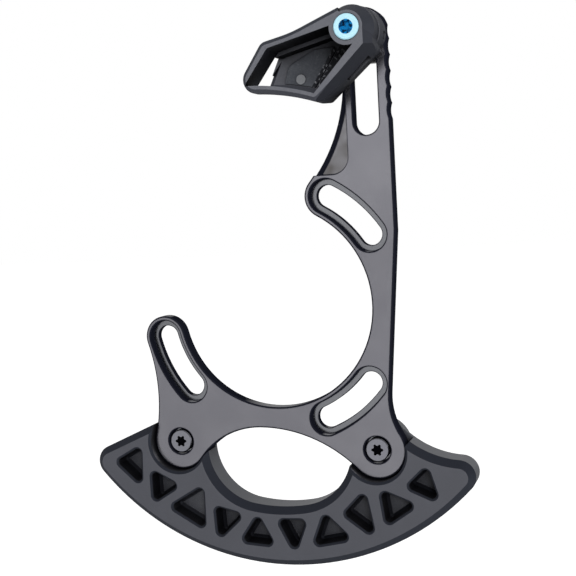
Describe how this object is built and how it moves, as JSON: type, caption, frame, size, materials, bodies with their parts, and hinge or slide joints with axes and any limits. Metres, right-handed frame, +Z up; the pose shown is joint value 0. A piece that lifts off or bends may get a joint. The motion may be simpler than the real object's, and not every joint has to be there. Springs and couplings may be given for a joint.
{
  "type": "bicycle chain guide",
  "caption": "Slotted backplate with a pocketed bash guard below and a height-adjustable chain guide on its upper arm.",
  "frame": {"origin": "the bottom bracket's axis on the backplate's back face", "axes": "+X towards the bicycle's front, +Y into the frame, away from the drive side, +Z up along the guide's arm"},
  "size_m": [0.1183, 0.025, 0.162],
  "materials": {
    "black_aluminium": "satin black anodised",
    "black_nylon": "fine matt texture",
    "grey_nylon": "smooth matt",
    "black_steel": "black zinc plating",
    "zinc_steel": "zinc plated",
    "blue_aluminium": "bright blue anodised"
  },
  "bodies": {
    "bracket": {"backplate": "black_aluminium", "bash_guard": "black_nylon", "bash_bolt_left": "black_steel", "bash_bolt_right": "black_steel", "bash_nut_left": "zinc_steel", "bash_nut_right": "zinc_steel"},
    "guide": {"guide_outer_half": "black_nylon", "guide_inner_half": "black_nylon", "guide_wear_pad": "grey_nylon", "guide_bolt": "blue_aluminium", "guide_t_nut": "zinc_steel"}
  },
  "joints": [
    {"name": "guide_height", "type": "slide", "parent": "bracket", "child": "guide", "axis": [0, 0, 1], "range_m": [-0.02265, 0]}
  ]
}
